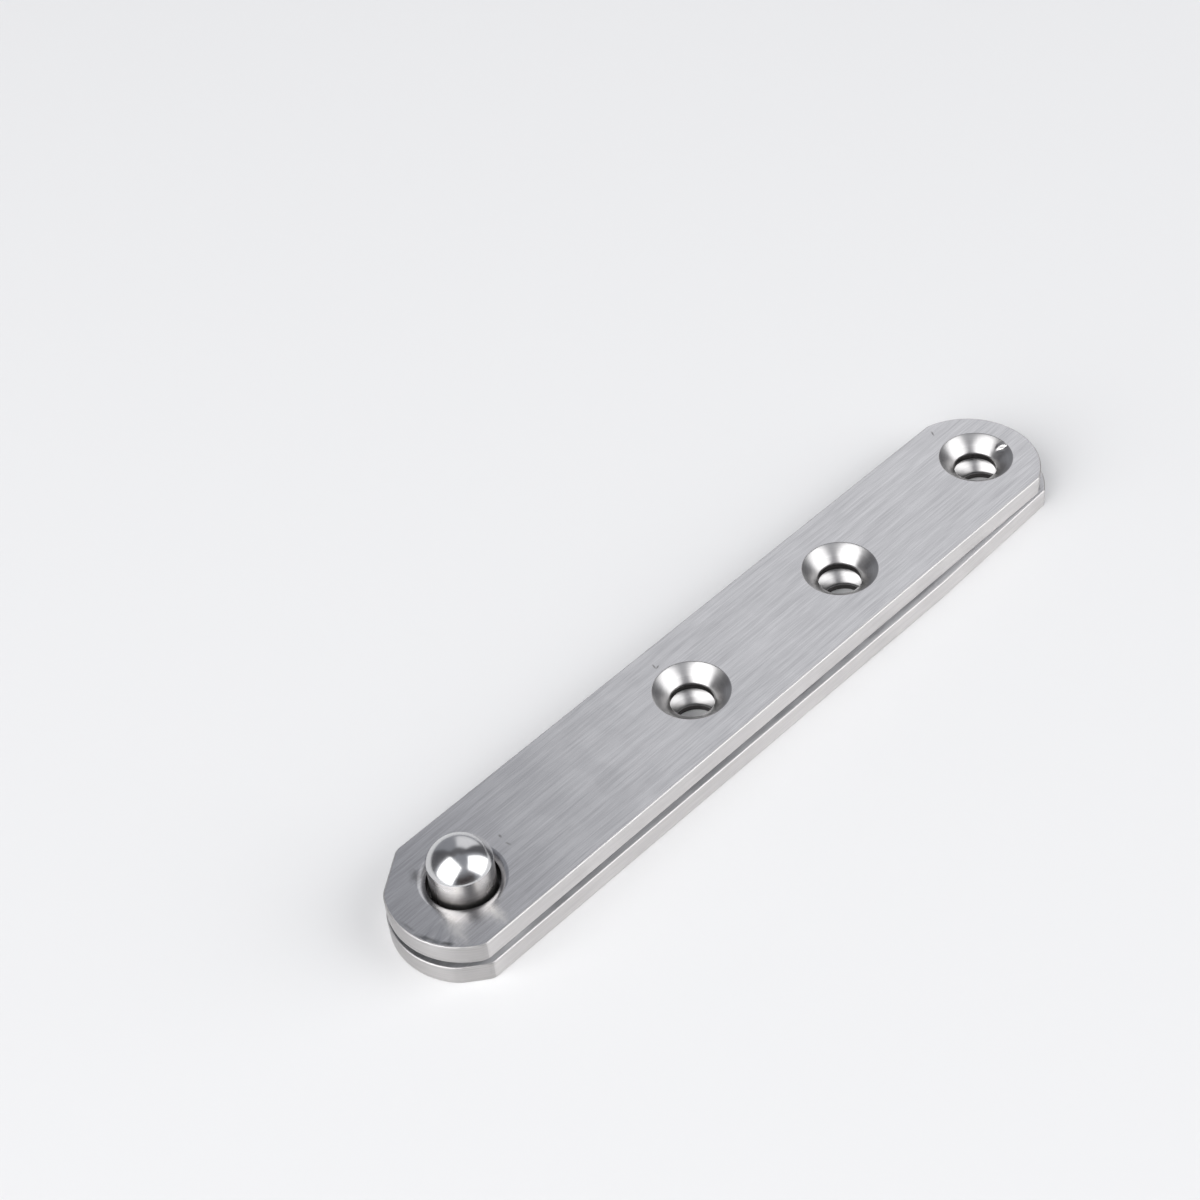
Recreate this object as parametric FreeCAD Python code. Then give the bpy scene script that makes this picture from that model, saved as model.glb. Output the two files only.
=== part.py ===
"""Pivot door hinge: two flat leaves on one round pin, with a thrust washer between them.

Millimetres. The origin is on the pin's axis, in the back face of the pin leaf. +X runs along
the pin leaf to its far tip and +Z runs up the pin. The pin leaf lies flat on its back. The
loose leaf is dropped over the pin, leans on the washer's rim and touches down with its tip.
"""

import FreeCAD, Part

import math
import os

# Both leaves
leaf_length = 100.0          # tip to tip, along the middle
leaf_width = 16.0
leaf_thickness = 2.5
end_reach = 8.6              # from the pin's axis to the leaf's pin-end tip
edge_round = 0.15            # small rounding all along the outline of both faces

# Corners, where an end arc meets a long edge. The ends were ground by hand, so each corner
# lies at its own distance behind its tip. Left and right are as seen from pin to far tip.
pin_leaf_near_left = 6.0
pin_leaf_near_right = 4.7
pin_leaf_far_left = 5.45
pin_leaf_far_right = 4.05
loose_leaf_near_left = 6.5
loose_leaf_near_right = 4.2
loose_leaf_far_left = 6.2
loose_leaf_far_right = 5.2

# Countersunk screw holes
screw_count = 3
screw_pitch = 25.0
last_screw_inset = 6.9       # from the far tip to the last screw hole
screw_bore = 5.0             # diameters
sink_diameter = 8.8
sink_angle = 100.0
sink_lip = 0.15              # little chamfer where the cone meets the bore
burr_break = 0.1             # chamfer of the bore on the plain side

# Right-hand edge of the pin leaf, ground in towards its far corner
taper_length = 24.0          # from the far tip back to where the edge starts to draw in
taper_depth = 0.7            # how far it has drawn in at the corner

# Flat ground on the loose leaf's near end, from its left corner to where the arc begins
flat_setback = 1.7           # that place, back from the tip
flat_inset = 3.3             # and in from the long edge

# Pivot pin
pin_diameter = 7.0
pin_standout = 2.9           # straight pin above the two leaves and the washer lying flat
dome_height = 2.4
tail_shoulder = 1.0          # step from the pin down to the tail that goes through the pin leaf
tail_flare = 0.75            # riveted-over end, at 45 degrees, flush with the leaf's back

# Thrust washer
washer_inset = 0.8           # from the leaves' long edges to the washer's rim
washer_thickness = 1.0
washer_break = 0.15          # chamfer of both rims
washer_clearance = 0.1       # round the pin

# Fit of the loose leaf
pin_clearance = 0.4          # round the pin
draw_in_width = 0.85         # the hole was punched from above, which drew its rim down
draw_in_depth = 0.4
seat_gap = 0.01              # under the loose leaf, where it rests
swing_angle = 0.6            # the loose leaf's turn about the pin as it lies

half_width = leaf_width / 2
far_tip = leaf_length - end_reach
pin_radius = pin_diameter / 2
tail_radius = pin_radius - tail_shoulder
washer_radius = half_width - washer_inset
washer_top = leaf_thickness + washer_thickness
pin_crease = washer_top + leaf_thickness + pin_standout
pin_top = pin_crease + dome_height
cut_over = 0.5               # how far a cutter runs out past the face that it cuts

UP = FreeCAD.Vector(0, 0, 1)
ACROSS = FreeCAD.Vector(0, 1, 0)
ORIGIN = FreeCAD.Vector(0, 0, 0)
LEFT = 1
RIGHT = -1
NEAR_TIP = FreeCAD.Vector(-end_reach, 0, 0)
FAR_TIP = FreeCAD.Vector(far_tip, 0, 0)


def arc(start, middle, end):
    """Arc edge through three points."""
    return Part.Arc(start, middle, end).toShape()


def turned(edges):
    """Solid of revolution about Z from the edges of a closed profile in the XZ plane."""
    return Part.Face(Part.Wire(edges)).revolve(ORIGIN, UP, 360)


def profile(points):
    """Straight edges from point to point, given as (radius, height)."""
    corners = [FreeCAD.Vector(radius, 0, height) for radius, height in points]
    return [Part.makeLine(a, b) for a, b in zip(corners, corners[1:])]


def near_point(setback, side, inset=0.0):
    """Point on a leaf's outline, setback from the near tip and inset from a long edge."""
    return FreeCAD.Vector(setback - end_reach, side * (half_width - inset), 0)


def far_point(setback, side, inset=0.0):
    """Point on a leaf's outline, setback from the far tip and inset from a long edge."""
    return FreeCAD.Vector(far_tip - setback, side * (half_width - inset), 0)


def plate(outline):
    """Leaf of full thickness on Z = 0, with the outline's edges rounded on both faces."""
    blank = Part.Face(Part.Wire(outline)).extrude(UP * leaf_thickness)
    rims = [edge for edge in blank.Edges if edge.BoundBox.ZLength < edge_round]
    return blank.makeFillet(edge_round, rims)


def screw_cutter(place_x):
    """Countersunk hole: chamfer on the plain side, bore, lip and cone up to the top face."""
    bore = screw_bore / 2
    sink = sink_diameter / 2
    flank = math.tan(math.radians(sink_angle / 2))
    cone_foot = leaf_thickness - (sink - bore - sink_lip) / flank
    cutter = turned(profile([
        (0, -cut_over),
        (bore + burr_break + cut_over, -cut_over),
        (bore, burr_break),
        (bore, cone_foot - sink_lip),
        (bore + sink_lip, cone_foot),
        (sink + cut_over * flank, leaf_thickness + cut_over),
        (0, leaf_thickness + cut_over),
        (0, -cut_over),
    ]))
    cutter.translate(FreeCAD.Vector(place_x, 0, 0))
    return cutter


def cut_screw_holes(leaf):
    """Row of countersunk holes, counted back from the far tip."""
    last = far_tip - last_screw_inset
    for index in range(screw_count):
        leaf = leaf.cut(screw_cutter(last - index * screw_pitch))
    return leaf


def make_pin_leaf():
    """Lower leaf, with the small hole whose back is flared for the pin's riveted tail."""
    near_left = near_point(pin_leaf_near_left, LEFT)
    near_right = near_point(pin_leaf_near_right, RIGHT)
    taper_start = far_point(taper_length, RIGHT)
    far_right = far_point(pin_leaf_far_right, RIGHT, taper_depth)
    far_left = far_point(pin_leaf_far_left, LEFT)
    leaf = plate([
        arc(near_left, NEAR_TIP, near_right),
        Part.makeLine(near_right, taper_start),
        Part.makeLine(taper_start, far_right),
        arc(far_right, FAR_TIP, far_left),
        Part.makeLine(far_left, near_left),
    ])
    tail_hole = turned(profile([
        (0, -cut_over),
        (tail_radius + tail_flare + cut_over, -cut_over),
        (tail_radius, tail_flare),
        (tail_radius, leaf_thickness + cut_over),
        (0, leaf_thickness + cut_over),
        (0, -cut_over),
    ]))
    return cut_screw_holes(leaf).cut(tail_hole)


def make_pivot_pin():
    """Pin standing on the pin leaf, with a domed head above and its tail riveted over below."""
    dome_radius = (pin_radius ** 2 + dome_height ** 2) / (2 * dome_height)
    half_angle = math.atan(dome_height / pin_radius)
    crown_middle = FreeCAD.Vector(
        dome_radius * math.sin(half_angle), 0,
        pin_top - dome_radius + dome_radius * math.cos(half_angle))
    shank = profile([
        (0, 0),
        (tail_radius + tail_flare, 0),
        (tail_radius, tail_flare),
        (tail_radius, leaf_thickness),
        (pin_radius, leaf_thickness),
        (pin_radius, pin_crease),
    ])
    crease = FreeCAD.Vector(pin_radius, 0, pin_crease)
    crown = FreeCAD.Vector(0, 0, pin_top)
    return turned(shank + [arc(crease, crown_middle, crown), Part.makeLine(crown, ORIGIN)])


def make_thrust_washer():
    """Flat ring on the pin leaf, with both rims of its outside chamfered."""
    inner = pin_radius + washer_clearance
    washer = turned(profile([
        (inner, 0),
        (washer_radius - washer_break, 0),
        (washer_radius, washer_break),
        (washer_radius, washer_thickness - washer_break),
        (washer_radius - washer_break, washer_thickness),
        (inner, washer_thickness),
        (inner, 0),
    ]))
    washer.translate(UP * leaf_thickness)
    return washer


def pin_hole_cutter():
    """Hole for the pin, its upper rim drawn down in a smooth curve that starts level."""
    hole = pin_radius + pin_clearance
    curve_radius = (draw_in_width ** 2 + draw_in_depth ** 2) / (2 * draw_in_depth)
    half_turn = math.atan(draw_in_depth / draw_in_width)
    rim = FreeCAD.Vector(hole, 0, leaf_thickness - draw_in_depth)
    middle = FreeCAD.Vector(
        hole + draw_in_width - curve_radius * math.sin(half_turn), 0,
        leaf_thickness - curve_radius + curve_radius * math.cos(half_turn))
    level = FreeCAD.Vector(hole + draw_in_width, 0, leaf_thickness)
    below = profile([(0, leaf_thickness), (0, -cut_over), (hole, -cut_over), (hole, rim.z)])
    return turned(below + [arc(rim, middle, level), Part.makeLine(level, UP * leaf_thickness)])


def make_loose_leaf():
    """Upper leaf, made flat and then laid on the washer's far rim and its own far tip."""
    near_left = near_point(loose_leaf_near_left, LEFT)
    flat_end = near_point(flat_setback, LEFT, flat_inset)
    near_right = near_point(loose_leaf_near_right, RIGHT)
    far_right = far_point(loose_leaf_far_right, RIGHT)
    far_left = far_point(loose_leaf_far_left, LEFT)
    leaf = plate([
        Part.makeLine(near_left, flat_end),
        arc(flat_end, NEAR_TIP, near_right),
        Part.makeLine(near_right, far_right),
        arc(far_right, FAR_TIP, far_left),
        Part.makeLine(far_left, near_left),
    ])
    leaf = cut_screw_holes(leaf).cut(pin_hole_cutter())
    rim = washer_radius - washer_break
    touching_tip = far_tip - edge_round
    lean = math.degrees(math.asin(washer_thickness / (touching_tip - rim)))
    leaf.translate(UP * (washer_top + seat_gap))
    leaf.rotate(FreeCAD.Vector(rim, 0, washer_top + seat_gap), ACROSS, lean)
    leaf.rotate(ORIGIN, UP, swing_angle)
    return leaf


def main():
    """Write each piece of the hinge to its own file."""
    pieces = {
        "pin_leaf": make_pin_leaf(),
        "pivot_pin": make_pivot_pin(),
        "thrust_washer": make_thrust_washer(),
        "loose_leaf": make_loose_leaf(),
    }
    os.makedirs("parts", exist_ok=True)
    for name, shape in pieces.items():
        if not shape.isValid():
            raise ValueError(name + " is not a valid solid")
        shape.exportStep("parts/" + name + ".step")


main()
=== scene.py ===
"""Looks of the pivot door hinge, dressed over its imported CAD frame.

Two flat steel leaves lie on each other with a thrust washer between them, and a domed pivot
pin stands up through both. Each piece is modelled here as finely as its finish needs, in
millimetres while it is made and in metres once it is placed. It stands for the CAD node of
the same name and rides on that node's body.
"""

import logging
import math
from dataclasses import dataclass, replace
from enum import Enum
from functools import reduce
from typing import Iterable

import bmesh
import bpy
from mathutils import Matrix, Vector


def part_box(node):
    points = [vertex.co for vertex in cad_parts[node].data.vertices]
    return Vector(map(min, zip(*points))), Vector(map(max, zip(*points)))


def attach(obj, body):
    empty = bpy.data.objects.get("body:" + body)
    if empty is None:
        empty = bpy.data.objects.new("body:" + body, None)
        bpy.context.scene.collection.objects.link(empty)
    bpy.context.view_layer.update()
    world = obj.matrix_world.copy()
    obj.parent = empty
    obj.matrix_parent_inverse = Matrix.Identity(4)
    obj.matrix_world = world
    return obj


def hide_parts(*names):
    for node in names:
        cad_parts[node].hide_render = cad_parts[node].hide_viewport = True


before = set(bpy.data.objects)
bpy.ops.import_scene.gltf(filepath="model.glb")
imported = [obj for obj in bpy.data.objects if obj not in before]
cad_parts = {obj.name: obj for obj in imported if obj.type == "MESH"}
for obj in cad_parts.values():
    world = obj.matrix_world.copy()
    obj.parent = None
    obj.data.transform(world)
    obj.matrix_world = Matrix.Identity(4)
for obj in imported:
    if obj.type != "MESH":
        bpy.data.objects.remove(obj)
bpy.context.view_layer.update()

LOG = logging.getLogger("pivot_hinge")
MM = 0.001
UP = Vector((0.0, 0.0, 1.0))
ALONG = Vector((1.0, 0.0, 0.0))
ACROSS = Vector((0.0, 1.0, 0.0))
LEFT, RIGHT = 1.0, -1.0  # sides of a leaf, seen from the pin to the far tip
FULL_TURN = 2.0 * math.pi
GRAIN_MAP = "grain"  # a piece's own map, which its tool lines follow
RUN = "run"  # vertex value: the way along a turned profile, in millimetres
UV_UNIT = 10.0  # millimetres that one unit of the own map stands for
WELD = 1e-4  # points this close, in millimetres, are one
OUTLINE_WELD = 1e-3  # the same, where the arcs and corners of an outline meet
LEVEL = 0.99999  # a face whose normal rises by this much lies flat
ZENITH = 1e-3  # least level part of a direction, so that straight up has a side too
LAMP_WATTS = 4.0  # per square metre of an area lamp whose face has a radiance of 1


class Region(Enum):
    """Surface of a leaf, in the order of its material slots."""

    FLAT = 0
    EDGE = 1
    SINK = 2
    BORE = 3
    END = 4


class PinRegion(Enum):
    """Surface of the pin, in the order of its material slots."""

    DOME = 0
    SHANK = 1
    TAIL = 2


class WasherRegion(Enum):
    """Surface of the washer."""

    ALL = 0


Pair = tuple[float, float]  # along and across a leaf, or radius and height of a profile
Triple = tuple[float, float, float]
Socket = bpy.types.NodeSocket
Stretches = list[tuple[Enum, list[Pair]]]


# Node helpers


@dataclass
class NodeSheet:
    """A node tree under construction, with short calls for its nodes and links.

    Args:
        tree: the node tree of a material, a world or a group.
    """

    tree: bpy.types.NodeTree

    def add(self, kind: str, **settings: object) -> bpy.types.Node:
        """Adds a node and sets its properties.

        Args:
            kind: the node's type name.
            settings: property names and their values.

        Returns:
            The new node.
        """
        node = self.tree.nodes.new(kind)
        for name, value in settings.items():
            setattr(node, name, value)
        return node

    def feed(self, socket: Socket, value: object) -> None:
        """Links a socket to another one, or gives it a plain value.

        Args:
            socket: the input to fill.
            value: an output socket, or a number, colour or vector.
        """
        if isinstance(value, Socket):
            self.tree.links.new(value, socket)
        else:
            socket.default_value = value

    def math(self, operation: str, *values: object) -> Socket:
        """Adds a Math node.

        Args:
            operation: the node's operation, such as MULTIPLY.
            values: its inputs, sockets or numbers.

        Returns:
            The result's socket.
        """
        node = self.add("ShaderNodeMath", operation=operation)
        for socket, value in zip(node.inputs, values):
            self.feed(socket, value)
        return node.outputs[0]

    def ramp(self, value: object, low: float, high: float, to_low: float = 0.0,
             to_high: float = 1.0) -> Socket:
        """Adds a smooth Map Range.

        Args:
            value: the input.
            low: where the change starts.
            high: where it ends.
            to_low: the result up to low.
            to_high: the result from high on.

        Returns:
            The result's socket.
        """
        node = self.add("ShaderNodeMapRange", interpolation_type="SMOOTHSTEP")
        for name, number in (("Value", value), ("From Min", low), ("From Max", high),
                             ("To Min", to_low), ("To Max", to_high)):
            self.feed(node.inputs[name], number)
        return node.outputs["Result"]

    def mix(self, factor: object, first: object, second: object) -> Socket:
        """Adds a Mix node for colours.

        Args:
            factor: 0 gives the first colour and 1 the second.
            first: a colour or socket.
            second: a colour or socket.

        Returns:
            The mixed colour's socket.
        """
        node = self.add("ShaderNodeMix", data_type="RGBA")
        self.feed(node.inputs[0], factor)
        self.feed(node.inputs[6], first)
        self.feed(node.inputs[7], second)
        return node.outputs[2]

    def noise(self, vector: object, scale: float, detail: float = 2.0,
              roughness: float = 0.5) -> Socket:
        """Adds a Noise Texture and gives its value.

        Args:
            vector: where it is read.
            scale: its scale.
            detail: its octaves.
            roughness: how strong its fine octaves are.

        Returns:
            The value's socket.
        """
        node = self.add("ShaderNodeTexNoise")
        self.feed(node.inputs["Vector"], vector)
        self.feed(node.inputs["Scale"], scale)
        self.feed(node.inputs["Detail"], detail)
        self.feed(node.inputs["Roughness"], roughness)
        return node.outputs["Fac"]


def new_group(name: str, inputs: dict[str, float], outputs: dict[str, str]) -> bpy.types.NodeTree:
    """Makes an empty shader node group.

    Args:
        name: the group's name.
        inputs: names of its number inputs and their defaults.
        outputs: names of its outputs and their socket types.

    Returns:
        The group, with its sockets made.
    """
    tree = bpy.data.node_groups.new(name, "ShaderNodeTree")
    for label, default in inputs.items():
        socket = tree.interface.new_socket(label, in_out="INPUT", socket_type="NodeSocketFloat")
        socket.default_value = default
    for label, kind in outputs.items():
        tree.interface.new_socket(label, in_out="OUTPUT", socket_type=kind)
    return tree


# Finishes


class GrainGroup:
    """Shared effect of fine parallel tool lines, which follow the second axis of the own map.

    LAYERS says how many times finer and shorter than asked each set of lines is, and the
    shift that keeps it apart from the others. Tone and Height are sums of them by shares.
    """

    NAME = "Tool lines"
    LAYERS = {"fine": (1.0, 1.0, 0.0), "broad": (0.28, 0.5, 7.3), "hair": (2.3, 2.6, 15.1),
              "patches": (0.02, 1.6, 31.7)}
    TONE_SHARES = {"fine": 0.45, "broad": 0.35, "hair": 0.20}
    HEIGHT_SHARES = {"fine": 0.6, "hair": 0.4}
    TONE_LIMITS = (0.30, 0.70)
    PATCH_LIMITS = (0.35, 0.65)
    OCTAVES, FINE_OCTAVES = 2.0, 0.55

    @classmethod
    def tree(cls) -> bpy.types.NodeTree:
        """Gives the node group, made at the first call.

        Returns:
            The group, whose outputs are Tone, Height and Patches, each about 0 to 1.
        """
        if cls.NAME in bpy.data.node_groups:
            return bpy.data.node_groups[cls.NAME]
        tree = new_group(
            cls.NAME,
            {"Lines per mm": 6.0, "Line length mm": 8.0, "Seed": 0.0},
            {"Tone": "NodeSocketFloat", "Height": "NodeSocketFloat",
             "Patches": "NodeSocketFloat"})
        sheet = NodeSheet(tree)
        source = sheet.add("NodeGroupInput")
        result = sheet.add("NodeGroupOutput")
        across = sheet.math("MULTIPLY", source.outputs["Lines per mm"], UV_UNIT)
        along = sheet.math("DIVIDE", UV_UNIT, source.outputs["Line length mm"])
        split = sheet.add("ShaderNodeSeparateXYZ")
        sheet.feed(split.inputs[0], sheet.add("ShaderNodeUVMap", uv_map=GRAIN_MAP).outputs[0])

        layers = {}
        for name, (finer, shorter, shift) in cls.LAYERS.items():
            place = sheet.add("ShaderNodeCombineXYZ")
            sheet.feed(place.inputs[0], sheet.math(
                "MULTIPLY", sheet.math("MULTIPLY", split.outputs[0], across), finer))
            sheet.feed(place.inputs[1], sheet.math(
                "MULTIPLY", sheet.math("MULTIPLY", split.outputs[1], along), shorter))
            sheet.feed(place.inputs[2], sheet.math("ADD", source.outputs["Seed"], shift))
            layers[name] = sheet.noise(place.outputs[0], 1.0, cls.OCTAVES, cls.FINE_OCTAVES)
        sums = []
        for shares in (cls.TONE_SHARES, cls.HEIGHT_SHARES):
            parts = [sheet.math("MULTIPLY", layers[name], share)
                     for name, share in shares.items()]
            sums.append(reduce(lambda total, part: sheet.math("ADD", total, part), parts))
        sheet.feed(result.inputs["Tone"], sheet.ramp(sums[0], *cls.TONE_LIMITS))
        sheet.feed(result.inputs["Height"], sums[1])
        sheet.feed(result.inputs["Patches"], sheet.ramp(layers["patches"], *cls.PATCH_LIMITS))
        return tree


@dataclass(frozen=True)
class Spot:
    """A small oval place on a piece.

    Args:
        place: its middle on the piece as it is made, in millimetres.
        reach: its half length and half width, seen from above.
        turn: the direction of its length, in degrees from +X.
    """

    place: Triple
    reach: Pair
    turn: float


@dataclass(frozen=True)
class BlemishAndPaintedLight(Spot):
    """A smear with an uneven edge, painted into a steel's colour. Some are blemishes such as
    scratches; others are painted light: painted reflections and a painted shadow of the pin.

    Args:
        tone: the warm grey that it turns to.
        strength: how far it covers the steel.
        ripple: how fine the waves of its edge are.
        uneven: how far they reach, as a share of its size.
    """

    tone: float
    strength: float
    ripple: float = 2.2
    uneven: float = 0.9

    @property
    def colour(self) -> tuple[float, float, float, float]:
        """The colour that it turns to."""
        return (self.tone, self.tone * 0.975, self.tone * 0.94, 1.0)


@dataclass(frozen=True)
class Steel:
    """Stainless steel with the lines of one way of finishing it.

    Args:
        name: the material's name.
        dark: colour in the bottom of the tool lines.
        light: colour on their ridges.
        smooth: roughness where it is smoothest.
        rough: roughness where it is roughest.
        streak: the shader's anisotropy, across the lines.
        lines_per_mm: how fine the lines are.
        line_length: their length, in millimetres.
        depth: height of the lines, in millimetres.
        seed: sets apart two pieces of one finish.
        marks: small blemishes, and painted reflections and a painted shadow of the pin.
    """

    name: str
    dark: Triple
    light: Triple
    smooth: float
    rough: float
    seed: float
    streak: float = 0.0
    lines_per_mm: float = 6.0
    line_length: float = 6.0
    depth: float = 0.004
    marks: tuple[BlemishAndPaintedLight, ...] = ()

    def material(self, place: Matrix) -> bpy.types.Material:
        """Builds the material.

        Args:
            place: the move from where the piece is made to where it lies.

        Returns:
            The new material.
        """
        material = bpy.data.materials.new(self.name)
        material.use_nodes = True
        sheet = NodeSheet(material.node_tree)
        shader = material.node_tree.nodes["Principled BSDF"]
        lines = sheet.add("ShaderNodeGroup", node_tree=GrainGroup.tree())
        lines.inputs["Lines per mm"].default_value = self.lines_per_mm
        lines.inputs["Line length mm"].default_value = self.line_length
        lines.inputs["Seed"].default_value = self.seed
        colour = sheet.mix(lines.outputs["Tone"], (*self.dark, 1.0), (*self.light, 1.0))
        # Each mark is painted into the colour: scratches, and painted light as well, such as
        # painted reflections and a painted shadow of the pin.
        for mark in self.marks:
            colour = sheet.mix(self.blemish_and_light_mask(sheet, mark, place), colour, mark.colour)
        sheet.feed(shader.inputs["Base Color"], colour)
        shader.inputs["Metallic"].default_value = 1.0
        shader.inputs["Anisotropic"].default_value = self.streak
        sheet.feed(shader.inputs["Roughness"], sheet.ramp(
            lines.outputs["Patches"], 0.0, 1.0, self.smooth, self.rough))
        if self.streak > 0.0:
            tangent = sheet.add("ShaderNodeTangent", direction_type="UV_MAP", uv_map=GRAIN_MAP)
            sheet.feed(shader.inputs["Tangent"], tangent.outputs[0])
        bump = sheet.add("ShaderNodeBump")
        bump.inputs["Strength"].default_value = 1.0
        bump.inputs["Distance"].default_value = self.depth * MM
        sheet.feed(bump.inputs["Height"], lines.outputs["Height"])
        sheet.feed(shader.inputs["Normal"], bump.outputs[0])
        return material

    @staticmethod
    def blemish_and_light_mask(sheet: NodeSheet, mark: BlemishAndPaintedLight, place: Matrix) -> Socket:
        """Adds the mask of one mark, which is a blemish or painted light.

        Args:
            sheet: the material's node sheet.
            mark: the mark, a blemish or painted light.
            place: the move from where the piece is made to where it lies.

        Returns:
            The mask's socket.
        """
        spot = sheet.add("ShaderNodeMapping", vector_type="TEXTURE")
        sheet.feed(spot.inputs["Vector"], sheet.add("ShaderNodeTexCoord").outputs["Object"])
        spot.inputs["Location"].default_value = place @ Vector(mark.place) * MM
        spot.inputs["Rotation"].default_value = (0.0, 0.0, math.radians(mark.turn))
        spot.inputs["Scale"].default_value = (mark.reach[0] * MM, mark.reach[1] * MM, MM)
        away = sheet.add("ShaderNodeVectorMath", operation="LENGTH")
        sheet.feed(away.inputs[0], spot.outputs[0])
        waves = sheet.math("SUBTRACT", sheet.noise(spot.outputs[0], mark.ripple, 3.0), 0.5)
        reach = sheet.math("ADD", away.outputs["Value"],
                           sheet.math("MULTIPLY", waves, mark.uneven))
        return sheet.ramp(reach, 0.0, 1.0, mark.strength, 0.0)


# Mesh helpers


@dataclass(frozen=True)
class Dent(Spot):
    """A dent or nick, whose middle is moved by push, in millimetres."""

    push: Triple


@dataclass
class Workpiece:
    """A mesh under construction, in millimetres, with the finish region of each face.

    The own map puts a face's tool lines along its second axis. On a turned face the lines go
    round the axis, and the first axis of the map is the way along the profile.

    Args:
        mesh: the mesh.
        upright_limit: a face whose normal rises by more than this is laid from above.
        crown_reach: near the axis the lines are laid as if they were this far from it.
    """

    mesh: bmesh.types.BMesh
    upright_limit: float = 0.7
    crown_reach: float = 1.0

    @classmethod
    def start(cls) -> "Workpiece":
        """Returns an empty workpiece, with its vertex value and its own map."""
        mesh = bmesh.new()
        mesh.verts.layers.float.new(RUN)
        mesh.loops.layers.uv.new(GRAIN_MAP)
        return cls(mesh)

    def turn(self, stretches: Stretches, centre_x: float, steps: int) -> list[bmesh.types.BMFace]:
        """Turns a profile round an upright axis.

        Args:
            stretches: the surface and the points, as radius and height, of each part of the
                profile. Each part starts where the one before ended.
            centre_x: place of the axis on the X axis.
            steps: segments of a full turn.

        Returns:
            The new faces, with surface and own map.
        """
        mesh = self.mesh
        layer = mesh.verts.layers.float[RUN]
        known = set(mesh.faces)
        verts: list[bmesh.types.BMVert] = []
        limits: list[tuple[float, Enum]] = []
        run = 0.0
        for surface, points in stretches:
            for radius, height in points:
                vert = mesh.verts.new((radius + centre_x, 0.0, height))
                if verts:
                    run += (vert.co - verts[-1].co).length
                    mesh.edges.new((verts[-1], vert))
                vert[layer] = run
                verts.append(vert)
            limits.append((run, surface))
        if (verts[-1].co - verts[0].co).length < WELD:
            verts[-1][layer] = verts[0][layer]  # either of the two may outlast the weld
        edges = {edge for vert in verts for edge in vert.link_edges}
        bmesh.ops.spin(
            mesh, geom=[*verts, *edges], cent=ALONG * centre_x, axis=UP,
            dvec=Vector(), angle=FULL_TURN, steps=steps, use_merge=True)
        around = {vert for face in mesh.faces if face not in known for vert in face.verts}
        bmesh.ops.remove_doubles(mesh, verts=list(around), dist=WELD)
        faces = [face for face in mesh.faces if face not in known]
        for face in faces:
            halfway = sum(vert[layer] for vert in face.verts) / len(face.verts)
            surface = next((item for end, item in limits if halfway < end), limits[-1][1])
            face.material_index = surface.value
            self.lay_rings(face, centre_x)
        return faces

    def lay_rings(self, face: bmesh.types.BMFace, centre_x: float) -> None:
        """Lays the own map of a turned face, with the lines round the axis.

        Args:
            face: the face.
            centre_x: place of the axis on the X axis.
        """
        layer = self.mesh.verts.layers.float[RUN]
        grain = self.mesh.loops.layers.uv[GRAIN_MAP]
        middle = face.calc_center_median() - ALONG * centre_x
        angle = math.atan2(middle.y, middle.x)
        reach = max(math.hypot(vert.co.x - centre_x, vert.co.y) for vert in face.verts)
        for loop in face.loops:
            x, y = loop.vert.co.x - centre_x, loop.vert.co.y
            turn = math.atan2(y, x) if math.hypot(x, y) > WELD else angle
            turn = angle + math.remainder(turn - angle, FULL_TURN)
            loop[grain].uv = (loop.vert[layer] / UV_UNIT,
                              turn * max(reach, self.crown_reach) / UV_UNIT)

    def lay_grain(self, faces: Iterable[bmesh.types.BMFace]) -> None:
        """Lays the own map of flat faces and walls, with the lines lengthwise.

        Args:
            faces: the faces to lay.
        """
        grain = self.mesh.loops.layers.uv[GRAIN_MAP]
        for face in faces:
            normal = face.normal
            if abs(normal.z) > self.upright_limit:
                across, lengthwise = ACROSS, ALONG
            else:
                across = UP
                lengthwise = ALONG if abs(normal.y) > abs(normal.x) else ACROSS
            for loop in face.loops:
                loop[grain].uv = (loop.vert.co.dot(across) / UV_UNIT,
                                  loop.vert.co.dot(lengthwise) / UV_UNIT)

    def dent(self, dents: Iterable[Dent]) -> None:
        """Moves the vertices inside small dents.

        Args:
            dents: the dents.
        """
        for dent in dents:
            middle = Vector(dent.place)
            turn = Matrix.Rotation(math.radians(-dent.turn), 3, "Z")
            for vert in self.mesh.verts:
                away = turn @ (vert.co - middle)
                share = math.hypot(away.x / dent.reach[0], away.y / dent.reach[1])
                if share < 1.0 and abs(away.z) < max(dent.reach):
                    vert.co += Vector(dent.push) * (1.0 - share * share) ** 2

    def finish(self, name: str, place: Matrix, finishes: Iterable[Steel]) -> bpy.types.Object:
        """Makes the object, with smooth shading weighted by face area.

        Args:
            name: the piece's name.
            place: the move from where it was made, in millimetres.
            finishes: its material slots, in the order of its surfaces.

        Returns:
            The new object, at the origin and in metres.
        """
        for face in self.mesh.faces:
            face.smooth = True
        for edge in self.mesh.edges:
            level = [abs(face.normal.z) > LEVEL for face in edge.link_faces]
            edge.smooth = all(level) or not any(level)
        bmesh.ops.transform(self.mesh, matrix=Matrix.Scale(MM, 4) @ place,
                            verts=self.mesh.verts)
        data = bpy.data.meshes.new(name)
        self.mesh.to_mesh(data)
        self.mesh.free()
        for finish in finishes:
            data.materials.append(finish.material(place))
        piece = bpy.data.objects.new(name, data)
        bpy.context.scene.collection.objects.link(piece)
        weights = piece.modifiers.new("weighted normals", "WEIGHTED_NORMAL")
        weights.weight = 100
        weights.keep_sharp = True
        return piece


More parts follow.
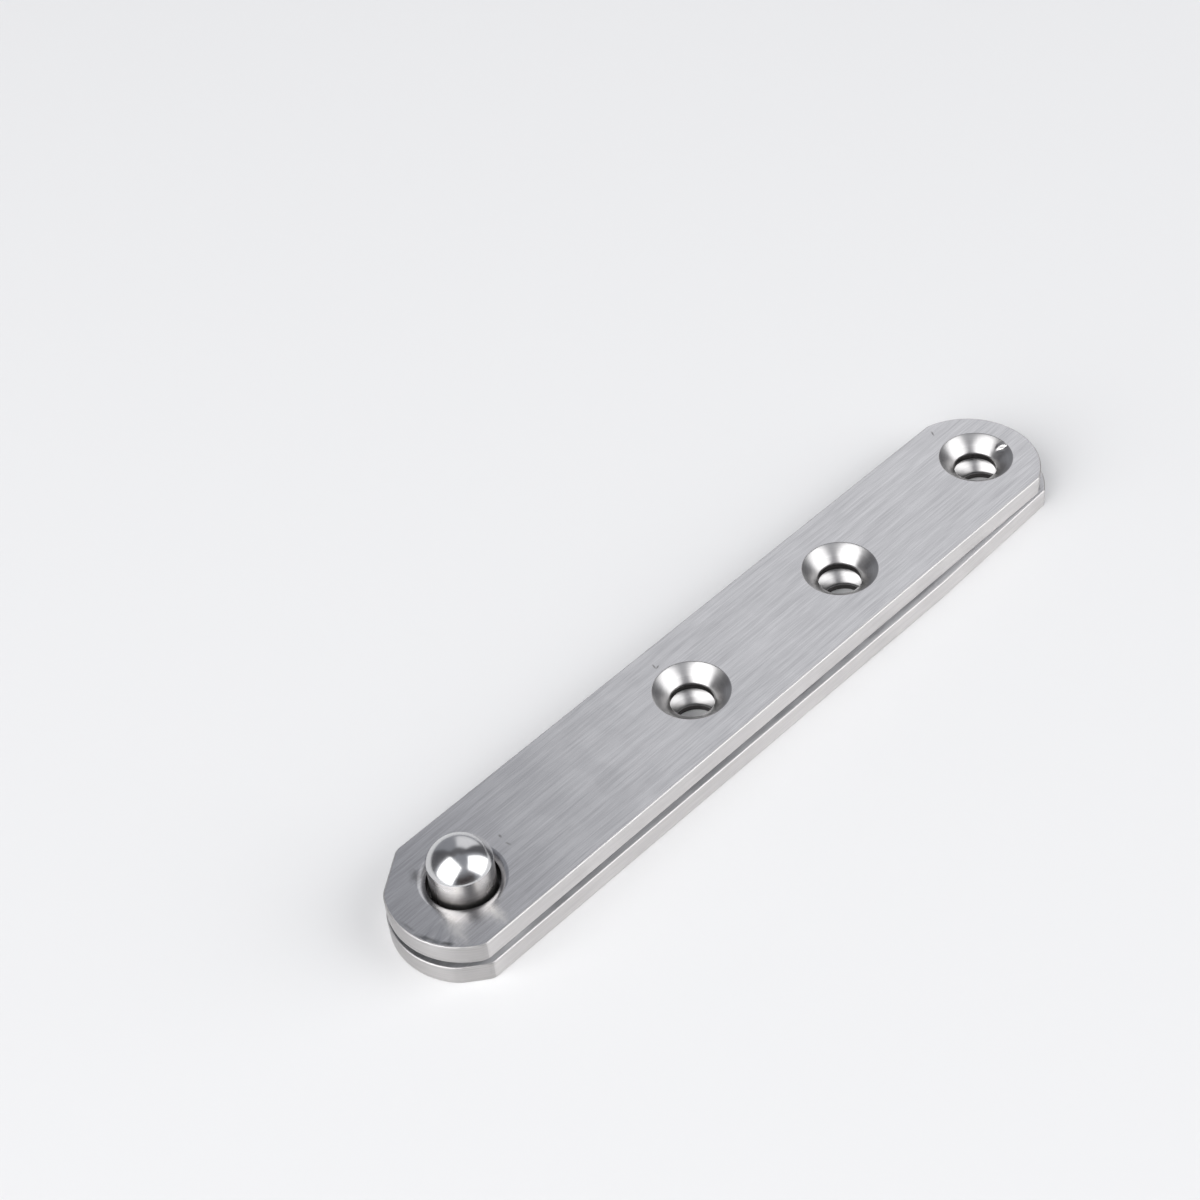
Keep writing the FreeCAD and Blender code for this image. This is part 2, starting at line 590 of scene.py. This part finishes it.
def arc_points(centre: Pair, radius: float, start: float, end: float,
               steps: int) -> list[Pair]:
    """Points of an arc in a profile.

    Args:
        centre: radius and height of the arc's centre.
        radius: the arc's radius.
        start: first angle in degrees, 0 outwards and 90 up.
        end: last angle.
        steps: number of straight parts.

    Returns:
        Radius and height of each point.
    """
    points = []
    for step in range(steps + 1):
        angle = math.radians(start + (end - start) * step / steps)
        points.append((centre[0] + radius * math.cos(angle),
                       centre[1] + radius * math.sin(angle)))
    return points


# Leaves


@dataclass(frozen=True)
class Sheet:
    """Sizes that both leaves share, in millimetres.

    Args:
        end_reach: from the pin's axis to the near tip.
        edge_round: rounding of both faces' rims, in round_steps segments.
        rim_band: width of the flat band inside the rims, which keeps their shading even.
        near_round: how far the outline's corners are rounded off to either side, near the pin.
        far_round: the same at the far end.
        corner_turn: a corner of the outline turns by more than this, in radians.
        end_slope: a wall whose normal points along the leaf by more than this is an end.
    """

    length: float = 100.0
    width: float = 16.0
    thickness: float = 2.5
    end_reach: float = 8.6
    edge_round: float = 0.15
    round_steps: int = 4
    rim_band: float = 0.7
    arc_steps: int = 72
    near_round: float = 0.5
    far_round: float = 0.15
    corner_steps: int = 6
    corner_turn: float = 0.12
    end_slope: float = 0.2

    @property
    def half_width(self) -> float:
        """Half of the width."""
        return self.width / 2.0

    @property
    def far_tip(self) -> float:
        """Place of the far tip, from the pin's axis."""
        return self.length - self.end_reach


SHEET = Sheet()


@dataclass(frozen=True)
class ScrewRow:
    """Row of countersunk holes, in millimetres.

    Each countersink is three arcs, one running into the next: a round mouth, a flank that
    swells a little and a round foot. An arc has its radius, the slope in degrees where it
    ends, and its steps.
    """

    count: int = 3
    pitch: float = 25.0
    last_inset: float = 6.9
    bore_radius: float = 2.5
    sink_arcs: tuple[tuple[float, float, int], ...] = (
        (0.2, 33.0, 6), (8.6, 48.0, 10), (0.4, 90.0, 6))
    back_break: float = 0.1
    steps: int = 144

    def places(self, far_tip: float) -> list[float]:
        """X places of the holes, counted back from the far tip."""
        return [far_tip - self.last_inset - index * self.pitch for index in range(self.count)]

    def profile(self, thickness: float) -> Stretches:
        """Profile from the mouth down to the back.

        Args:
            thickness: the leaf's thickness.

        Returns:
            The countersink and the bore.
        """
        points = [(0.0, thickness)]
        slope = 0.0
        for radius, end_slope, steps in self.sink_arcs:
            way = math.radians(slope)
            centre = (points[-1][0] + radius * math.sin(way),
                      points[-1][1] - radius * math.cos(way))
            points += arc_points(centre, radius, 90.0 + slope, 90.0 + end_slope, steps)[1:]
            slope = end_slope
        outward = self.bore_radius - points[-1][0]
        return [
            (Region.SINK, [(radius + outward, height) for radius, height in points]),
            (Region.BORE, [
                (self.bore_radius, self.back_break),
                (self.bore_radius + self.back_break, 0.0)]),
        ]


@dataclass
class Leaf:
    """One leaf: a flat strip with ground ends, rounded rims and a row of countersunk holes.

    Args:
        name: the piece's name.
        node: the CAD node it stands for.
        body: the body it rides on.
        outline: groups of corners; a group of three is an arc, and a group of one a corner.
        finishes: the steel of each Region, in order.
        dents: small dents and nicks.
        sheet: the sizes both leaves share.
        screws: the screw holes.
    """

    name: str
    node: str
    body: str
    outline: list[tuple[Pair, ...]]
    finishes: tuple[Steel, ...]
    dents: tuple[Dent, ...] = ()
    sheet: Sheet = SHEET
    screws: ScrewRow = ScrewRow()

    def pin_hole(self) -> Stretches:
        """Profile of the hole at the pin, from the upper face to the back."""
        raise NotImplementedError

    def place(self) -> Matrix:
        """Move from where the leaf is made, flat on the floor, to where it lies."""
        return Matrix.Identity(4)

    def build(self) -> bpy.types.Object:
        """Builds the leaf.

        Returns:
            The leaf's object.
        """
        work = Workpiece.start()
        self.body_strip(work)
        for place in self.screws.places(self.sheet.far_tip):
            work.turn(self.screws.profile(self.sheet.thickness), place, self.screws.steps)
        turned = work.turn(self.pin_hole(), 0.0, self.screws.steps)
        work.lay_grain(face for face in turned if face.material_index == Region.FLAT.value)
        self.close_faces(work)
        work.dent(self.dents)
        piece = work.finish(self.name, self.place(), self.finishes)
        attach(piece, self.body)
        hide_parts(self.node)
        return piece

    def body_strip(self, work: Workpiece) -> None:
        """Makes the strip's walls with their rounded rims, open inside both rim bands.

        Args:
            work: the workpiece.
        """
        sheet = self.sheet
        mesh = work.mesh
        verts = []
        for group in self.outline:
            if len(group) == 1:
                verts.append(mesh.verts.new((*group[0], 0.0)))
            else:
                verts.extend(self.arc(mesh, *group))
        mesh.faces.new(verts)
        bmesh.ops.remove_doubles(mesh, verts=mesh.verts, dist=OUTLINE_WELD)
        self.round_corners(mesh)
        face = mesh.faces[:][0]
        raised = bmesh.ops.extrude_face_region(mesh, geom=[face], use_keep_orig=True)
        bmesh.ops.translate(
            mesh, vec=UP * sheet.thickness,
            verts=[part for part in raised["geom"] if isinstance(part, bmesh.types.BMVert)])
        bmesh.ops.recalc_face_normals(mesh, faces=mesh.faces)
        caps = [item for item in mesh.faces if abs(item.normal.z) > LEVEL]
        rims = [edge for cap in caps for edge in cap.edges]
        bmesh.ops.inset_region(mesh, faces=caps, thickness=sheet.rim_band,
                               use_boundary=True, use_even_offset=True)
        bmesh.ops.delete(mesh, geom=caps, context="FACES_ONLY")
        bmesh.ops.bevel(
            mesh, geom=rims, offset=sheet.edge_round, offset_type="OFFSET",
            affect="EDGES", segments=sheet.round_steps, profile=0.5, material=-1,
            clamp_overlap=True)
        for item in mesh.faces:
            if abs(item.normal.z) > LEVEL:
                surface = Region.FLAT
            else:
                surface = Region.END if abs(item.normal.x) > sheet.end_slope else Region.EDGE
            item.material_index = surface.value
        work.lay_grain(mesh.faces)

    def round_corners(self, mesh: bmesh.types.BMesh) -> None:
        """Rounds the outline's corners off, once its points close to them are gone.

        Args:
            mesh: the mesh, with the outline as its one face.
        """
        sheet = self.sheet
        for reach, way in ((sheet.near_round, -1.0), (sheet.far_round, 1.0)):
            corners = [
                loop.vert for loop in mesh.faces[:][0].loops if loop.vert.co.x * way > 0.0
                and abs(math.pi - loop.calc_angle()) > sheet.corner_turn]
            crowd = [vert for vert in mesh.verts if vert not in corners and any(
                (vert.co - corner.co).length < reach * 1.1 for corner in corners)]
            bmesh.ops.dissolve_verts(mesh, verts=crowd)
            bmesh.ops.bevel(
                mesh, geom=corners, offset=reach, offset_type="OFFSET",
                affect="VERTICES", segments=sheet.corner_steps, profile=0.5, material=-1)

    def arc(self, mesh: bmesh.types.BMesh, start: Pair, middle: Pair,
            end: Pair) -> list[bmesh.types.BMVert]:
        """Spins a vertex along the arc through three corners.

        Args:
            mesh: the mesh.
            start: where the arc starts.
            middle: a point on the way.
            end: where it ends.

        Returns:
            The arc's vertices in order.
        """
        centre = circle_centre(start, middle, end)
        first = Vector(start) - centre
        way = [math.remainder(math.atan2(*reversed(Vector(point) - centre))
                              - math.atan2(*reversed(first)), FULL_TURN)
               for point in (middle, end)]
        sweep = way[1] if way[0] * way[1] > 0 else way[1] - math.copysign(FULL_TURN, way[1])
        verts = [mesh.verts.new((*start, 0.0))]
        spun = bmesh.ops.spin(
            mesh, geom=[verts[0]], cent=(*centre, 0.0), axis=UP, dvec=Vector(),
            angle=sweep, steps=self.sheet.arc_steps, use_merge=False)
        last = next(part for part in spun["geom_last"] if isinstance(part, bmesh.types.BMVert))
        while verts[-1] is not last:
            onward = [edge.other_vert(verts[-1]) for edge in verts[-1].link_edges]
            verts.append(next(vert for vert in onward if vert not in verts[-2:]))
        return verts

    def close_faces(self, work: Workpiece) -> None:
        """Fills the two large faces between the rim bands and the holes.

        Args:
            work: the workpiece.
        """
        mesh = work.mesh
        for height in (0.0, self.sheet.thickness):
            edges = [edge for edge in mesh.edges if edge.is_boundary
                     and all(abs(vert.co.z - height) < WELD for vert in edge.verts)]
            filled = bmesh.ops.triangle_fill(mesh, use_beauty=True, use_dissolve=False,
                                             edges=edges, normal=UP)
            faces = [part for part in filled["geom"] if isinstance(part, bmesh.types.BMFace)]
            for face in faces:
                face.material_index = Region.FLAT.value
            work.lay_grain(faces)
        bmesh.ops.recalc_face_normals(mesh, faces=mesh.faces)


def circle_centre(*points: Pair) -> Vector:
    """Centre of a circle.

    Args:
        points: three points on it.

    Returns:
        The centre.
    """
    first, second, third = (Vector(point) for point in points)
    a, b = second - first, third - first
    cross = 2.0 * (a.x * b.y - a.y * b.x)
    return first + Vector((
        (b.y * a.length_squared - a.y * b.length_squared) / cross,
        (a.x * b.length_squared - b.x * a.length_squared) / cross))


@dataclass
class PinLeaf(Leaf):
    """Lower leaf, whose small hole is filled by the pin's riveted tail."""

    tail_radius: float = 2.5
    tail_flare: float = 0.75
    rivet_groove: float = 0.06

    def pin_hole(self) -> Stretches:
        """Returns the profile of the hole for the pin's tail, flared at the back."""
        groove = self.rivet_groove
        return [(Region.BORE, [
            (self.tail_radius, self.sheet.thickness),
            (self.tail_radius, self.tail_flare),
            (self.tail_radius + self.tail_flare - groove, groove),
            (self.tail_radius + self.tail_flare + groove, 0.0),
        ])]


@dataclass
class LooseLeaf(Leaf):
    """Upper leaf, which drops over the pin and leans on the washer and on its own tip.

    Its hole's rim is drawn down in a curve, and below it the wall stands in by wall_inset.
    """

    hole_radius: float = 3.9
    wall_inset: float = 0.005
    rim_break: float = 0.02
    back_break: float = 0.06
    draw_in_width: float = 0.85
    draw_in_depth: float = 0.4
    draw_in_steps: int = 10
    washer_rim: float = 7.05
    washer_top: float = 3.5
    seat_gap: float = 0.01
    lean_over: float = 1.0
    swing: float = 0.6

    def pin_hole(self) -> Stretches:
        """Returns the profile of the pin hole, its rim drawn down in a curve."""
        width, depth = self.draw_in_width, self.draw_in_depth
        radius = (width ** 2 + depth ** 2) / (2.0 * depth)
        sweep = 2.0 * math.degrees(math.atan(depth / width))
        top = self.sheet.thickness
        curve = arc_points((self.hole_radius + width, top - radius), radius, 90.0,
                           90.0 + sweep, self.draw_in_steps)
        wall = self.hole_radius - self.wall_inset
        return [
            (Region.FLAT, curve),
            (Region.BORE, [(wall, curve[-1][1] - self.rim_break), (wall, self.back_break),
                           (self.hole_radius + self.back_break, 0.0)]),
        ]

    def place(self) -> Matrix:
        """Returns the lift onto the washer, lean to the far tip and swing about the pin."""
        tip = self.sheet.far_tip - self.sheet.edge_round
        lean = math.asin(self.lean_over / (tip - self.washer_rim))
        pivot = Vector((self.washer_rim, 0.0, self.washer_top + self.seat_gap))
        lift = Matrix.Translation(UP * pivot.z)
        tilt = (Matrix.Translation(pivot) @ Matrix.Rotation(lean, 4, "Y")
                @ Matrix.Translation(-pivot))
        return Matrix.Rotation(math.radians(self.swing), 4, "Z") @ tilt @ lift


# Pin and washer


@dataclass
class PivotPin:
    """Round pin with a domed head, its tail riveted over in the pin leaf's back.

    Args:
        crease_shape: points of the rounded crease, inwards and up, in units of crease_round.
        rivet_break: the same for the tail's rim, which leaves a fine groove, in millimetres.
    """

    finishes: tuple[Steel, Steel, Steel]
    radius: float = 3.5
    tail_radius: float = 2.5
    tail_flare: float = 0.75
    leaf_thickness: float = 2.5
    crease: float = 9.0
    dome_height: float = 2.3
    crease_round: float = 0.05
    crease_shape: tuple[Pair, ...] = ((0.10, -0.35), (0.30, 0.25))
    rivet_break: tuple[Pair, ...] = ((0.10, 0.0), (0.05, 0.04))
    dome_steps: int = 40
    steps: int = 160

    def profile(self) -> Stretches:
        """Returns the profile of the tail, the shank and the dome, up to the crown."""
        dome_radius = (self.radius ** 2 + self.dome_height ** 2) / (2.0 * self.dome_height)
        middle = self.crease + self.dome_height - dome_radius
        start = math.degrees(math.asin((self.crease - middle) / dome_radius))
        step_back = math.degrees(self.crease_round / dome_radius)
        dome = arc_points((0.0, middle), dome_radius, start + step_back, 90.0, self.dome_steps)
        rounding = self.crease_round
        foot = self.tail_radius + self.tail_flare
        return [
            (PinRegion.TAIL, [
                (0.0, 0.0),
                *((foot - inwards, up) for inwards, up in self.rivet_break),
                (self.tail_radius, self.tail_flare),
                (self.tail_radius, self.leaf_thickness)]),
            (PinRegion.SHANK, [
                (self.radius, self.leaf_thickness),
                (self.radius, self.crease - rounding)]),
            (PinRegion.DOME, [
                *((self.radius - rounding * inwards, self.crease + rounding * up)
                  for inwards, up in self.crease_shape),
                *dome[:-1],
                (0.0, self.crease + self.dome_height)]),
        ]

    def build(self) -> bpy.types.Object:
        """Builds the pin.

        Returns:
            The pin's object.
        """
        work = Workpiece.start()
        work.turn(self.profile(), 0.0, self.steps)
        bmesh.ops.recalc_face_normals(work.mesh, faces=work.mesh.faces)
        piece = work.finish("pivot_pin_turned", Matrix.Identity(4), self.finishes)
        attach(piece, "pin_leaf")
        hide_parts("pivot_pin")
        return piece


@dataclass
class ThrustWasher:
    """Flat ring between the leaves, its outer rims broken."""

    finish: Steel
    inner: float = 3.6
    outer: float = 7.2
    bottom: float = 2.5
    thickness: float = 1.0
    rim_break: float = 0.15
    steps: int = 144

    def build(self) -> bpy.types.Object:
        """Builds the washer.

        Returns:
            The washer's object.
        """
        low, high = self.bottom, self.bottom + self.thickness
        edge = self.rim_break
        work = Workpiece.start()
        work.turn([(WasherRegion.ALL, [
            (self.inner, low), (self.outer - edge, low), (self.outer, low + edge),
            (self.outer, high - edge), (self.outer - edge, high), (self.inner, high),
            (self.inner, low)])], 0.0, self.steps)
        bmesh.ops.recalc_face_normals(work.mesh, faces=work.mesh.faces)
        piece = work.finish("thrust_washer_ring", Matrix.Identity(4), (self.finish,))
        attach(piece, "thrust_washer")
        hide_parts("thrust_washer")
        return piece


# Studio


@dataclass(frozen=True)
class Softbox:
    """A large soft lamp that faces the hinge.

    Args:
        name: its name.
        azimuth: its direction from the hinge, in degrees from +X towards +Y.
        elevation: its height above the floor, in degrees.
        spread: its width and height as seen from the hinge, in degrees.
        roll: its turn about the way it faces, in degrees.
        radiance: how bright its face is, where 1 is white.
        distance: metres from the hinge.
    """

    name: str
    azimuth: float
    elevation: float
    spread: Pair
    roll: float
    radiance: float
    distance: float = 1.6

    def build(self) -> None:
        """Makes the lamp."""
        width, height = (2.0 * self.distance * math.tan(math.radians(angle / 2.0))
                         for angle in self.spread)
        data = bpy.data.lights.new(self.name, "AREA")
        data.shape = "RECTANGLE"
        data.size, data.size_y = width, height
        data.energy = LAMP_WATTS * self.radiance * width * height
        lamp = bpy.data.objects.new(self.name, data)
        bpy.context.scene.collection.objects.link(lamp)
        turn, lift = math.radians(self.azimuth), math.radians(self.elevation)
        way = Vector((math.cos(turn) * math.cos(lift), math.sin(turn) * math.cos(lift),
                      math.sin(lift)))
        facing = (-way).to_track_quat("-Z", "Y").to_matrix().to_4x4()
        lamp.matrix_world = (Matrix.Translation(way * self.distance) @ facing
                             @ Matrix.Rotation(math.radians(self.roll), 4, "Z"))
        lamp.visible_camera = False


@dataclass(frozen=True)
class Sector:
    """A soft-edged part of the studio round the hinge.

    Args:
        azimuth: middle of it, in degrees.
        half_width: half of its width, in degrees.
        soft: width of its soft sides, in degrees.
        bottom: elevation where it starts, in degrees.
        top: elevation where it ends.
        fade: height of its soft top and bottom.
        colour: its colour.
    """

    azimuth: float
    half_width: float
    soft: float
    bottom: float
    top: float
    fade: float
    colour: Triple


@dataclass
class Studio:
    """Pale floor, white sweep behind, two softboxes and the camera."""

    floor_colour: Triple = (0.825, 0.82335, 0.820875)
    floor_roughness: float = 0.9
    floor_gloss: float = 0.1
    floor_reach: float = 0.6
    floor_drop: float = 0.00002
    room: Triple = (0.34, 0.35, 0.38)
    sweep: Sector = Sector(31.5, 22.7, 10.0, 8.0, 57.0, 13.0, (0.96, 0.96, 0.982))
    camera_place: Vector = Vector((-86.50, -128.31, 195.66))
    camera_aim: Vector = Vector((41.63, 22.26, 0.0))
    camera_roll: float = -6.70
    camera_lens: float = 71.12
    camera_sensor: float = 36.0
    camera_clip: Pair = (0.01, 50.0)
    softboxes: tuple[Softbox, ...] = (
        Softbox("softbox left", 181.8, 36.9, (58.7, 69.2), -9.5, 2.2),
        Softbox("softbox right", -52.2, 22.0, (48.7, 74.9), 20.8, 1.75),
    )
    sectors: tuple[Sector, ...] = (
        Sector(60.0, 75.0, 20.0, 60.0, 82.0, 10.0, (0.16, 0.16, 0.17)),
        Sector(0.0, 17.0, 10.0, -90.0, 64.0, 8.0, (0.12, 0.12, 0.13)),
        Sector(118.0, 22.0, 12.0, -90.0, 70.0, 8.0, (0.12, 0.12, 0.13)),
        Sector(-117.0, 30.0, 14.0, -90.0, 30.0, 34.0, (0.06, 0.05, 0.05)),
    )

    def build(self) -> None:
        """Makes the floor, the lamps, the world and the camera, and sets plain colours."""
        bpy.context.scene.view_settings.view_transform = "Standard"
        self.floor()
        for softbox in self.softboxes:
            softbox.build()
        self.world()
        self.camera()

    def floor(self) -> None:
        """Makes the floor."""
        mesh = bmesh.new()
        bmesh.ops.create_grid(mesh, x_segments=1, y_segments=1, size=self.floor_reach)
        data = bpy.data.meshes.new("floor")
        mesh.to_mesh(data)
        mesh.free()
        floor = bpy.data.objects.new("floor", data)
        floor.location.z = -self.floor_drop
        bpy.context.scene.collection.objects.link(floor)
        material = bpy.data.materials.new("pale floor")
        material.use_nodes = True
        shader = material.node_tree.nodes["Principled BSDF"]
        shader.inputs["Base Color"].default_value = (*self.floor_colour, 1.0)
        shader.inputs["Roughness"].default_value = self.floor_roughness
        shader.inputs["Specular IOR Level"].default_value = self.floor_gloss
        data.materials.append(material)

    def world(self) -> None:
        """Makes the world: the studio's walls by direction, with a white sweep behind the hinge.

        The camera sees the sweep's white all round, and metal mirrors it where it stands.
        """
        world = bpy.data.worlds.new("studio")
        bpy.context.scene.world = world
        world.use_nodes = True
        sheet = NodeSheet(world.node_tree)
        background = world.node_tree.nodes["Background"]
        split = sheet.add("ShaderNodeSeparateXYZ")
        sheet.feed(split.inputs[0], sheet.add("ShaderNodeTexCoord").outputs["Generated"])
        x, y, z = split.outputs
        level = sheet.math("MAXIMUM", sheet.math("SQRT", sheet.math(
            "ADD", sheet.math("MULTIPLY", x, x), sheet.math("MULTIPLY", y, y))), ZENITH)
        elevation = sheet.math("DEGREES", sheet.math("ARCSINE", z))
        colour: object = (*self.room, 1.0)
        for sector in self.sectors:
            colour = sheet.mix(self.sector_mask(sheet, sector, (x, y, level, elevation)),
                               colour, (*sector.colour, 1.0))
        rays = sheet.add("ShaderNodeLightPath").outputs
        mirrored = sheet.math("MAXIMUM", rays["Is Glossy Ray"], rays["Is Transmission Ray"])
        backdrop = self.sector_mask(sheet, self.sweep, (x, y, level, elevation))
        seen = sheet.math("MAXIMUM", rays["Is Camera Ray"],
                          sheet.math("MULTIPLY", mirrored, backdrop))
        sheet.feed(background.inputs["Color"],
                   sheet.mix(seen, colour, (*self.sweep.colour, 1.0)))
        background.inputs["Strength"].default_value = 1.0

    @staticmethod
    def sector_mask(sheet: NodeSheet, sector: Sector,
                    way: tuple[Socket, ...]) -> Socket:
        """Adds the mask of a sector.

        Args:
            sheet: the world's node sheet.
            sector: the sector.
            way: x, y, their joint length and the elevation of the direction looked in.

        Returns:
            The mask's socket.
        """
        x, y, level, elevation = way
        turn = math.radians(sector.azimuth)
        toward = sheet.math("DIVIDE", sheet.math(
            "ADD", sheet.math("MULTIPLY", x, math.cos(turn)),
            sheet.math("MULTIPLY", y, math.sin(turn))), level)
        away = sheet.math("DEGREES", sheet.math("ARCCOSINE", sheet.math(
            "MINIMUM", toward, LEVEL)))
        limits = ((away, sector.half_width, sector.soft, (1.0, 0.0)),
                  (elevation, sector.bottom, sector.fade, (0.0, 1.0)),
                  (elevation, sector.top, sector.fade, (1.0, 0.0)))
        masks = [sheet.ramp(value, limit - soft / 2.0, limit + soft / 2.0, *ends)
                 for value, limit, soft, ends in limits]
        return reduce(lambda mask, other: sheet.math("MULTIPLY", mask, other), masks)

    def camera(self) -> None:
        """Makes the camera, at the photo's viewing angle."""
        data = bpy.data.cameras.new("camera")
        data.sensor_fit = "HORIZONTAL"
        data.sensor_width = self.camera_sensor
        data.lens = self.camera_lens
        data.clip_start, data.clip_end = self.camera_clip
        camera = bpy.data.objects.new("camera", data)
        bpy.context.scene.collection.objects.link(camera)
        forward = (self.camera_aim - self.camera_place).normalized()
        turn = forward.to_track_quat("-Z", "Y").to_matrix().to_4x4()
        roll = Matrix.Rotation(math.radians(self.camera_roll), 4, "Z")
        camera.matrix_world = Matrix.Translation(self.camera_place * MM) @ turn @ roll
        bpy.context.scene.camera = camera


# The hinge


BRUSHED = Steel(
    name="brushed leaf steel", dark=(0.475, 0.475, 0.488), light=(0.65, 0.65, 0.663),
    smooth=0.21, rough=0.24, seed=1.0, streak=0.65, lines_per_mm=6.5)
BRUSHED_UPPER = replace(BRUSHED, name="brushed leaf steel, loose leaf", marks=(
    # Painted reflection: two bright wedges below the pin, painted where the pin's lit shank would
    # be mirrored in the brushed face.
    BlemishAndPaintedLight((-5.0, -4.2, 2.5), (3.2, 1.2), 74.0, 0.95, 0.65),
    BlemishAndPaintedLight((-0.9, -6.0, 2.5), (2.2, 1.0), 78.0, 0.95, 0.65),
    # Painted shadow and dark reflection of the pin, to its left.
    BlemishAndPaintedLight((-3.1, 3.8, 2.5), (1.5, 0.9), 50.0, 0.12, 0.55),
    BlemishAndPaintedLight((6.33, 1.06, 2.5), (0.40, 0.20), 80.0, 0.20, 0.8),
    BlemishAndPaintedLight((6.18, -0.3, 2.5), (0.55, 0.18), 100.0, 0.24, 0.7),
    BlemishAndPaintedLight((34.43, 5.58, 2.5), (0.60, 0.14), 73.0, 0.16, 0.9),
    BlemishAndPaintedLight((34.63, 5.23, 2.5), (0.45, 0.14), 14.0, 0.16, 0.9),
    BlemishAndPaintedLight((84.60, 6.63, 2.5), (0.65, 0.16), 60.0, 0.16, 0.9),
    # Darker streaks along the near tip's rim, beside the dents.
    BlemishAndPaintedLight((-7.75, -3.0, 2.5), (2.0, 0.40), -70.0, 0.14, 0.65),
    BlemishAndPaintedLight((-6.90, -4.9, 2.5), (1.3, 0.32), -56.0, 0.10, 0.75),
    BlemishAndPaintedLight((-8.05, -0.4, 2.5), (1.6, 0.30), -88.0, 0.20, 0.45),
))
BRUSHED_LOWER = replace(
    BRUSHED, name="brushed leaf steel, pin leaf", smooth=0.46, rough=0.54, streak=0.8, seed=40.0)
GROUND_EDGE = Steel(
    name="ground long edge", dark=(0.58, 0.566, 0.56), light=(0.67, 0.655, 0.65),
    smooth=0.44, rough=0.52, seed=12.0, streak=0.6)
GROUND_END = replace(
    GROUND_EDGE, name="hand-ground end", dark=(0.46, 0.448, 0.444), light=(0.56, 0.548, 0.543),
    smooth=0.38, rough=0.46)
TURNED_SINK = Steel(
    name="turned countersink", dark=(0.455, 0.447, 0.443), light=(0.55, 0.542, 0.538),
    smooth=0.30, rough=0.36, seed=5.0, lines_per_mm=7.0, depth=0.001)
# Painted shade: the bores' steel is given a near-black colour so that the holes read as deep
# shade.
BORE_PAINTED_SHADE = Steel(
    name="drilled bore, painted shade", dark=(0.07, 0.066, 0.064), light=(0.14, 0.133, 0.13),
    smooth=0.42, rough=0.50, seed=27.0, line_length=4.0)
POLISHED_DOME = Steel(
    name="polished dome", dark=(0.60, 0.60, 0.605), light=(0.63, 0.63, 0.635),
    smooth=0.17, rough=0.20, seed=9.0, lines_per_mm=8.0, line_length=5.0, depth=0.0003)
SATIN_SHANK = Steel(
    name="satin shank", dark=(0.46, 0.443, 0.43), light=(0.57, 0.552, 0.538),
    smooth=0.26, rough=0.32, seed=14.0, streak=0.5, lines_per_mm=7.0, line_length=7.0,
    depth=0.002)
PLAIN_WASHER = Steel(
    name="plain washer steel", dark=(0.48, 0.475, 0.47), light=(0.60, 0.595, 0.59),
    smooth=0.28, rough=0.38, seed=21.0, streak=0.3, lines_per_mm=5.0, depth=0.003)


def near(setback: float, side: float, inset: float = 0.0) -> Pair:
    """Place on an outline, setback behind the near tip and inset from its LEFT or RIGHT edge."""
    return (setback - SHEET.end_reach, side * (SHEET.half_width - inset))


def far(setback: float, side: float, inset: float = 0.0) -> Pair:
    """Place on an outline, setback before the far tip and inset from its LEFT or RIGHT edge."""
    return (SHEET.far_tip - setback, side * (SHEET.half_width - inset))


def make_leaves() -> list[bpy.types.Object]:
    """Builds both leaves.

    Returns:
        The leaves' objects.
    """
    near_tip, far_tip = (-SHEET.end_reach, 0.0), (SHEET.far_tip, 0.0)
    pin_leaf = PinLeaf(
        name="pin_leaf_plate", node="pin_leaf", body="pin_leaf",
        outline=[
            (near(6.0, LEFT), near_tip, near(2.0, RIGHT, 2.16)),
            (near(4.7, RIGHT),),
            (far(24.0, RIGHT),),
            (far(4.05, RIGHT, 0.7), far_tip, far(5.45, LEFT)),
        ],
        finishes=(BRUSHED_LOWER, GROUND_EDGE, TURNED_SINK, BORE_PAINTED_SHADE, GROUND_END))
    loose_leaf = LooseLeaf(
        name="loose_leaf_plate", node="loose_leaf", body="loose_leaf",
        outline=[
            (near(6.5, LEFT),),
            (near(1.7, LEFT, 3.3), near_tip, near(4.2, RIGHT)),
            (far(5.2, RIGHT), far_tip, far(6.2, LEFT)),
        ],
        finishes=(BRUSHED_UPPER, GROUND_EDGE, TURNED_SINK, BORE_PAINTED_SHADE, GROUND_END),
        dents=(
            Dent((88.35, -0.95, 2.15), (0.75, 0.30), -62.0, (-0.20, 0.06, 0.16)),
            Dent((88.05, -1.15, 1.85), (0.70, 0.22), -62.0, (0.16, -0.05, -0.14)),
            Dent((-8.10, -2.6, 2.45), (0.45, 0.25), -72.0, (0.12, 0.04, -0.06)),
            Dent((-7.65, -3.9, 2.45), (0.50, 0.25), -62.0, (0.12, 0.06, -0.06)),
            Dent((-6.95, -5.2, 2.45), (0.40, 0.25), -55.0, (0.10, 0.08, -0.06)),
        ))
    return [pin_leaf.build(), loose_leaf.build()]


def report(piece: bpy.types.Object, node: str) -> None:
    """Logs how far a piece's box is from its CAD node's box.

    Args:
        piece: the piece.
        node: the node that it stands for.
    """
    low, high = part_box(node)
    corners = [vert.co for vert in piece.data.vertices]
    gaps = [min(corner[axis] for corner in corners) - low[axis] for axis in range(3)]
    gaps += [high[axis] - max(corner[axis] for corner in corners) for axis in range(3)]
    LOG.info("%s: %d faces, inside its node's box by %s mm", piece.name,
             len(piece.data.polygons), ", ".join("%.3f" % (gap / MM) for gap in gaps))


def main() -> None:
    """Builds the studio and the four pieces in order."""
    logging.basicConfig(level=logging.INFO, format="%(name)s: %(message)s")
    Studio().build()
    pin_leaf, loose_leaf = make_leaves()
    report(pin_leaf, "pin_leaf")
    report(loose_leaf, "loose_leaf")
    report(PivotPin((POLISHED_DOME, SATIN_SHANK, SATIN_SHANK)).build(), "pivot_pin")
    report(ThrustWasher(PLAIN_WASHER).build(), "thrust_washer")


if __name__ == "__main__":
    main()
